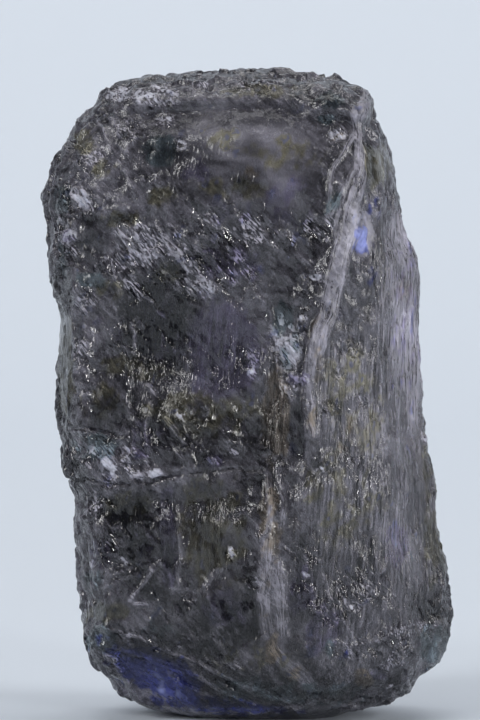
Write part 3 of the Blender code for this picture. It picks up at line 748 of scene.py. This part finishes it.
def steps(tree, vector):
    """Slow rises that each end in a sudden drop, along wandering level lines, here and there."""
    add = partial(add_node, tree)
    wander = add(NOISE, {}, {"Vector": vector, "Scale": 0.8, "Detail": 2.0, "Roughness": 0.5})
    height = add("ShaderNodeSeparateXYZ", {}, {"Vector": vector}).outputs["Z"]
    drop = add(MATH, {"operation": "FRACT"}, (add(MATH, TIMES_PLUS, (wander, STEP_WANDER, height)),))
    some = add(NOISE, {}, {"Vector": vector, "Scale": 0.55, "Detail": 1.0})
    some = add(RANGE, {}, (some, *STEP_SPOTS))
    return add(MATH, TIMES, (add(MATH, MINUS, (drop, 0.5)), some))


def strands(tree, vector):
    """Strands that run along each drawn stroke, from -0.5 to 0.5."""
    add = partial(add_node, tree)
    stored = [(add(STORED, {}, {"Name": name}), share) for name, share in STRAND_SHAPES]
    return lumps(tree, add("ShaderNodeCombineXYZ", {}, [add(MATH, TIMES, pair) for pair in stored]))


PATTERNS = {"lumps": lumps, "facets": facets, "shards": shards, "steps": steps, "strands": strands}


def convexity(mesh):
    """How far each point stands out from the blurred places of those around it, in mm."""
    places = rows_of(mesh)
    ends = np.empty(len(mesh.edges) * 2, np.int32)
    mesh.edges.foreach_get("vertices", ends)
    ends = ends.reshape(-1, 2)
    counts = np.bincount(ends.ravel(), minlength=len(places))[:, None]
    blurred = places
    for _ in range(BLUR_ROUNDS):
        sums = np.zeros_like(blurred)
        for axis in range(3):
            for here, there in ((0, 1), (1, 0)):
                sums[:, axis] += np.bincount(ends[:, here], blurred[ends[:, there], axis], len(places))
        blurred = sums / np.maximum(counts, 1)
    return np.einsum("ij,ij->i", places - blurred, rows_of(mesh, "normal"))


def store_finish(mesh):
    """Keeps, for each point of the finished mesh, how much of each tint and finish it has, with painted light
    and shade, glints and glow among them.
    """
    places = rows_of(mesh)
    pixels = uneven(places)
    front = front_share(mesh, *FINISH_FRONT)
    smooth, fibrous, spark = texture_shares(places, pixels, front)
    stroke, across, along = draw_lines(pixels, STROKES)
    store(mesh, edge=ease(convexity(mesh), *EDGE_HEIGHTS), stroke=front * stroke, across=across, along=along)
    # The glow share holds the painted blue glow and flash
    store(mesh, smooth=smooth, fibrous=fibrous, spark=spark, glow=front * most_cover(pixels, GLOWS))
    shade = GROWN_SHADE * (grown_patches(places, *SHADE_PATCHES) - 0.5)
    # The drawn patches hold painted light and shade as well as milkiness
    drawn = sum(patch_cover(pixels, patch) for patch in SHADES)
    store(mesh, shade=shade + front * (drawn - shade))
    # Frosted chips, with painted glints among them
    frost = SIDE_FROST_AND_GLINTS * grown_patches(places, *FROST_AND_GLINT_SPOTS)
    store(mesh, frost=frost + front * (most_cover(pixels, FROST_AND_GLINT_PATCHES) - frost))
    size, seed, low, high = TINT_PATCHES
    for number, (name, patches) in enumerate(TINTS.items()):
        tint = SIDE_TINTS[name] * grown_patches(places, size, seed + number, low, high)
        store(mesh, **{name: tint + front * (most_cover(pixels, patches) - tint)})


def iolite_material(finish):
    """Rough cordierite: dark clear glass, clouded by veils of fine cracks, pale and matt where it is worn,
    with painted light and shade, painted glints and a painted blue glow in its veil.
    """
    material = bpy.data.materials.new("rough iolite")
    material.use_nodes = True
    tree = material.node_tree
    tree.nodes.clear()
    add = partial(add_node, tree)
    place = add("ShaderNodeTexCoord").outputs["Object"]
    share = {}
    for name in FINISH_SHARES:
        share[name] = add("ShaderNodeAttribute", {"attribute_name": name}).outputs["Fac"]

    def scaled_place(size, stretch, turn):
        """The place in the stone, in units of this size in mm, turned and drawn out."""
        turns = [math.radians(angle) for angle in turn]
        settings = {"Vector": place, "Rotation": turns, "Scale": [size * MM * part for part in stretch]}
        return add("ShaderNodeMapping", {"vector_type": "TEXTURE"}, settings)

    grain = {}
    for name, (size, stretch, turn, octaves, low, high, rough) in GRAINS.items():
        settings = {"Scale": 1.0, "Detail": octaves, "Roughness": rough}
        settings["Vector"] = scaled_place(size, stretch, turn)
        grain[name] = add(RANGE, {}, (add(NOISE, {}, settings), low, high))

    def ragged(name, low, high, wander):
        """A stored share with its edge made ragged by noise, eased between low and high."""
        shifted = add(MATH, TIMES_PLUS, (grain["ragged"], wander, share[name]))
        edge = (shifted, low + wander / 2, high + wander / 2)
        return add(RANGE, {"interpolation_type": "SMOOTHSTEP"}, edge)

    fibrous = ragged("fibrous", *FIBROUS_EDGE)
    spark = ragged("spark", *SPARK_EDGE)

    # The weave is the main grain of the veil: loose, brushed, upright or slanting
    weave = add(MIX, {}, {0: LOOSE_SLANT, 2: grain["loose"], 3: grain["slanting"]})
    for amount, name in ((share["smooth"], "brushed"), (fibrous, "upright"), (spark, "slanting")):
        weave = add(MIX, {}, {0: amount, 2: weave, 3: grain[name]})
    factor = add(MATH, TIMES_PLUS, (weave, VEIL_WEAVE, add(MATH, TIMES, (grain["clouds"], VEIL_CLOUDS))))
    # The shade share brings the painted light and shade of the drawn patches into the veil
    level = add(MATH, PLUS, (share["shade"], finish.milkiness))
    level = add(MATH, {"operation": "MAXIMUM"}, (level, LEAST_VEIL))
    veil = add(MATH, TIMES, (level, factor))

    # Wisps lie along the level lines of a slow noise
    line = add(MATH, {"operation": "ABSOLUTE"}, (add(MATH, MINUS, (grain["wisps"], 0.5)),))
    line = add(RANGE, {}, (line, 0.0, WISP_WIDTH, 1.0, 0.0))
    some = add(RANGE, {}, (grain["ragged"], *WISP_SPOTS))
    wisps = add(MATH, TIMES, (add(MATH, TIMES, (line, some)), weave))
    veil = add(MATH, TIMES_PLUS, (wisps, WISP_VEIL, veil))

    # Splinters are small bright flakes in clumps, partly painted glints, fewer where the stone is smooth or
    # fibrous
    splinters = add(MATH, TIMES, (grain["splinters"], grain["clumps"]))
    least_and_most = ((1.0, SPLINTERS_AND_GLINTS_ON_SMOOTH), (1.0, SPLINTERS_AND_GLINTS_ON_FIBRES), SPLINTER_AND_GLINT_VEILS)
    for amount, (without, with_all) in zip((share["smooth"], fibrous, spark), least_and_most):
        splinters = add(MATH, TIMES, (splinters, add(MIX, {}, {0: amount, 2: without, 3: with_all})))
    veil = add(MATH, PLUS, (veil, splinters))

    # Worn strands follow the drawn strokes: whole on the ridges, and in short pieces elsewhere, where many
    # are painted glints
    spots = [add(MATH, TIMES, (share[way], gap)) for way, gap in zip(("across", "along"), STRAND_GAPS)]
    spots = {"Vector": add("ShaderNodeCombineXYZ", {}, spots), "Scale": 1.0, "Detail": 1.0, "Roughness": 0.6}
    strands = add(RANGE, {}, (add(NOISE, {}, spots), *STRAND_VALUES, 0.0, STRAND_VEIL))
    worn = add(MATH, TIMES, (share["stroke"], strands))
    ridge = add(MATH, {"operation": "LESS_THAN"}, (share["along"], LINE_SPACING * RIDGE_STROKES))
    pieces = add(MIX, {}, {0: ridge, 2: add(MATH, TIMES_PLUS, (grain["slanting"], *PIECE_VEILS)), 3: 1.0})
    veil = add(MATH, TIMES_PLUS, (worn, pieces, veil))

    # Frosted chips with painted glints, rubbed edges and the painted blue glow come on top
    pits = add(MATH, TIMES_PLUS, (grain["pits"], grain["chips"], FROST_AND_GLINT_LEAST))
    frost = add(MATH, TIMES, (share["frost"], pits))
    rubbed = add(MATH, TIMES, (share["edge"], weave))
    glowing = add(MATH, TIMES_PLUS, (weave, *GLOW_VEILS))
    for part, amount in ((frost, FROST_AND_GLINT_VEIL), (rubbed, EDGE_VEIL), (glowing, share["glow"])):
        veil = add(MATH, TIMES_PLUS, (part, amount, veil))
    veil = add("ShaderNodeClamp", {}, {"Value": veil})

    colour = shared_linear(STONE_COLOUR)
    layers = [(add(MATH, TIMES, (ragged(name, *TINT_EDGE), most)), tint) for name, tint, most in TINT_COLOURS]
    layers.append((add(MATH, {**TIMES, "use_clamp": True}, (frost, FROST_AND_GLINT_TINT)), FROST_AND_GLINT_COLOUR))
    for amount, tint in layers:
        colour = add(MIX, COLOURS, {0: amount, 6: colour, 7: shared_linear(tint)}).outputs[2]
    depth = add(RANGE, {}, (factor, *DARK_FACTORS, DARKEST))
    colour = add(MIX, {**COLOURS, "blend_type": "MULTIPLY"}, {0: 1.0, 6: colour, 7: depth}).outputs[2]

    polished, dull, worn_off = ROUGHNESS
    veiled = add(RANGE, {}, (veil, *WORN_VEILS, 0.0, MOST_WORN))
    roughness = polished
    for amount, end in ((grain["ragged"], dull), (spark, polished), (veiled, worn_off)):
        roughness = add(MIX, {}, {0: amount, 2: roughness, 3: end})

    fine = add(MATH, TIMES, (grain["fine"], add(MIX, {}, {0: share["fibrous"], 2: LEAST_FINE, 3: 1.0})))
    lean = add(RANGE, {}, (share["spark"], *LEANING_SHARES, LEAST_LEAN))
    leaning = add(MATH, TIMES, (shards(tree, scaled_place(*GLINT_CELLS)), lean))
    bump = add("ShaderNodeBump", {}, {"Height": fine, "Strength": 1.0, "Distance": FINE_DEPTH * MM})
    bump = {"Height": leaning, "Strength": 1.0, "Distance": GLINT_DEPTH * MM, "Normal": bump}
    shader = {
        "Base Color": colour,
        "Roughness": roughness,
        "Transmission Weight": add(RANGE, {}, (veil, 0.0, 1.0, finish.clearness, VEILED_CLEARNESS)),
        "IOR": finish.ior,
        "Normal": add("ShaderNodeBump", {}, bump),
    }
    depths = {"Color": (*finish.depth_colour, 1.0), "Density": finish.depth_density}
    ends = {
        "Surface": add("ShaderNodeBsdfPrincipled", {}, shader),
        "Volume": add("ShaderNodeVolumeAbsorption", {}, depths),
    }
    add("ShaderNodeOutputMaterial", {}, ends)
    return material


class IoliteShape(bpy.types.PropertyGroup):
    """How finely the stone's surface is worked."""

    step: FloatProperty(name="Working step", description="Gap between points while it is worked, in mm",
                        default=WORK_STEP, min=0.1, max=1.0)
    triangles: IntProperty(name="Triangles", description="Most triangles in the finished stone",
                           default=FINAL_TRIANGLES, min=10000, max=199000)


class IoliteFinish(bpy.types.PropertyGroup):
    """What the stone's material lets through."""

    clearness: FloatProperty(name="Clearness", description="Share of the light that enters an unworn face",
                             default=1.0, min=0.0, max=1.0, subtype="FACTOR")
    milkiness: FloatProperty(name="Milkiness", description="Share of the light that fine cracks turn back",
                             default=0.09, min=0.0, max=1.0, subtype="FACTOR")
    ior: FloatProperty(name="Refractive index", description="Bending of light; cordierite is about 1.54",
                       default=1.54, min=1.0, max=3.0)
    depth_colour: FloatVectorProperty(name="Depth colour", description="Colour that its depth lets through",
                                      default=shared_linear("#8F8FA0")[:3], size=3, subtype="COLOR")
    depth_density: FloatProperty(name="Depth density", description="Absorption per metre of stone",
                                 default=560.0, min=0.0)


class StudioSettings(bpy.types.PropertyGroup):
    """The stage and its light."""

    floor_colour: FloatVectorProperty(name="Floor", description="Colour of the floor and the backdrop",
                                      default=shared_linear("#DCE3EC")[:3], size=3, subtype="COLOR")


class OBJECT_OT_iolite_stone(bpy.types.Operator):
    """Makes the rough iolite from its CAD solid"""

    bl_idname = "object.iolite_stone"
    bl_label = "Iolite stone"

    def execute(self, context):
        shape = context.scene.iolite_shape
        stone = new_object("iolite_stone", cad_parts[NODE].data.copy())
        work_on(stone)
        stone.data.transform(Matrix.Scale(1.0 / MM, 4))
        in_edit_mode(bpy.ops.mesh.select_all, action="SELECT")
        in_edit_mode(bpy.ops.mesh.remove_doubles, threshold=MERGE_DISTANCE)
        reshape(stone, "SUBSURF", levels=1, render_levels=1)
        fill_front(stone.data)
        reshape(stone, "REMESH", mode="VOXEL", voxel_size=shape.step, use_smooth_shade=True)
        store_relief(stone.data)
        reshape(stone, "NODES", node_group=relief_tree())
        reshape(stone, "SMOOTH", factor=SMOOTHING, iterations=1)
        reshape(stone, "TRIANGULATE")
        reshape(stone, "DECIMATE", ratio=min(1.0, shape.triangles / len(stone.data.polygons)))
        places = rows_of(stone.data)
        places[:, 2] = np.maximum(places[:, 2], 0.0)
        move_points(stone.data, places)
        store_finish(stone.data)
        for name in ("open", "broken", "fibre", "carve"):
            stone.data.attributes.remove(stone.data.attributes[name])
        stone.data.transform(Matrix.Scale(MM, 4))
        work_on(stone)
        bpy.ops.object.shade_smooth_by_angle(angle=SHARP_ANGLE)
        stone.data.materials.clear()
        stone.data.materials.append(iolite_material(context.scene.iolite_finish))
        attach(stone, "root")
        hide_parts(NODE)
        return {"FINISHED"}


def area_light(name, place, aim, size, power):
    """A soft rectangular light, placed and aimed in mm, with its size in mm and its power in watts."""
    data = bpy.data.lights.new(name, "AREA")
    data.shape = "RECTANGLE"
    data.size, data.size_y = size[0] * MM, size[1] * MM
    data.energy = power
    light = new_object(name, data)
    light.location = Vector(place) * MM
    light.rotation_euler = (Vector(aim) - Vector(place)).to_track_quat("-Z", "Y").to_euler()


def board_material(colour):
    """Matt painted board, evenly pale and without any gloss to the eye."""
    material = bpy.data.materials.new("matt board")
    material.use_nodes = True
    shader = material.node_tree.nodes["Principled BSDF"]
    shader.inputs["Base Color"].default_value = (*colour, 1.0)
    shader.inputs["Roughness"].default_value = BOARD_ROUGHNESS
    return material


def select_edges(mesh, wanted):
    """Selects the edges of a mesh that have both their ends where it is wanted."""
    for edge in mesh.edges:
        edge.select = all(wanted(mesh.vertices[index].co) for index in edge.vertices)


class OBJECT_OT_iolite_studio(bpy.types.Operator):
    """Makes the floor, the backdrop, the lights and the camera"""

    bl_idname = "object.iolite_studio"
    bl_label = "Studio"

    def execute(self, context):
        bpy.ops.object.select_all(action="DESELECT")
        bpy.ops.mesh.primitive_plane_add(size=1.0)
        floor = context.object
        floor.name = "studio_floor"
        floor.scale = FLOOR_SIZE
        bpy.ops.object.transform_apply(scale=True)
        in_edit_mode(bpy.ops.mesh.select_all, action="DESELECT")
        select_edges(floor.data, lambda end: end.y > BACK_EDGE)
        in_edit_mode(bpy.ops.mesh.extrude_region_move, TRANSFORM_OT_translate={"value": BACKDROP_RISE})
        select_edges(floor.data, lambda end: end.y > BACK_EDGE and end.z < FLOOR_TOP)
        in_edit_mode(bpy.ops.mesh.bevel, offset=BACKDROP_CURVE, segments=24, profile=0.5)
        bpy.ops.object.shade_smooth()
        floor.data.materials.append(board_material(context.scene.iolite_studio.floor_colour))
        for light in LIGHTS:
            area_light(*light)
        world = bpy.data.worlds.new("studio")
        context.scene.world = world
        world.use_nodes = True
        sky = world.node_tree.nodes["Background"]
        sky.inputs["Color"].default_value = shared_linear(SKY_COLOUR)
        sky.inputs["Strength"].default_value = SKY_STRENGTH
        lens = bpy.data.cameras.new("photo_camera")
        lens.lens = CAMERA_LENS
        lens.sensor_width = SENSOR_WIDTH
        lens.clip_start, lens.clip_end = CAMERA_CLIP
        camera = new_object("photo_camera", lens)
        camera.location = camera_axes()[0] * MM
        camera.rotation_euler = (math.radians(90.0 - CAMERA_TILT), 0.0, 0.0)
        context.scene.camera = camera
        context.scene.view_settings.view_transform = "Standard"
        return {"FINISHED"}


class VIEW3D_PT_iolite(bpy.types.Panel):
    """Buttons and settings for the stone and its studio"""

    bl_label = "Iolite"
    bl_space_type = "VIEW_3D"
    bl_region_type = "UI"
    bl_category = "Iolite"

    def draw(self, context):
        for name in SETTINGS:
            group = getattr(context.scene, name)
            for value in group.__annotations__:
                self.layout.prop(group, value)
        self.layout.operator(OBJECT_OT_iolite_stone.bl_idname)
        self.layout.operator(OBJECT_OT_iolite_studio.bl_idname)


SETTINGS = {"iolite_shape": IoliteShape, "iolite_finish": IoliteFinish, "iolite_studio": StudioSettings}
CLASSES = (*SETTINGS.values(), OBJECT_OT_iolite_stone, OBJECT_OT_iolite_studio, VIEW3D_PT_iolite)


def register():
    for made in CLASSES:
        bpy.utils.register_class(made)
    for name, group in SETTINGS.items():
        setattr(bpy.types.Scene, name, PointerProperty(type=group))


def unregister():
    for name in SETTINGS:
        delattr(bpy.types.Scene, name)
    for made in reversed(CLASSES):
        bpy.utils.unregister_class(made)


def main():
    register()
    bpy.ops.object.iolite_stone()
    bpy.ops.object.iolite_studio()


if __name__ == "__main__":
    main()
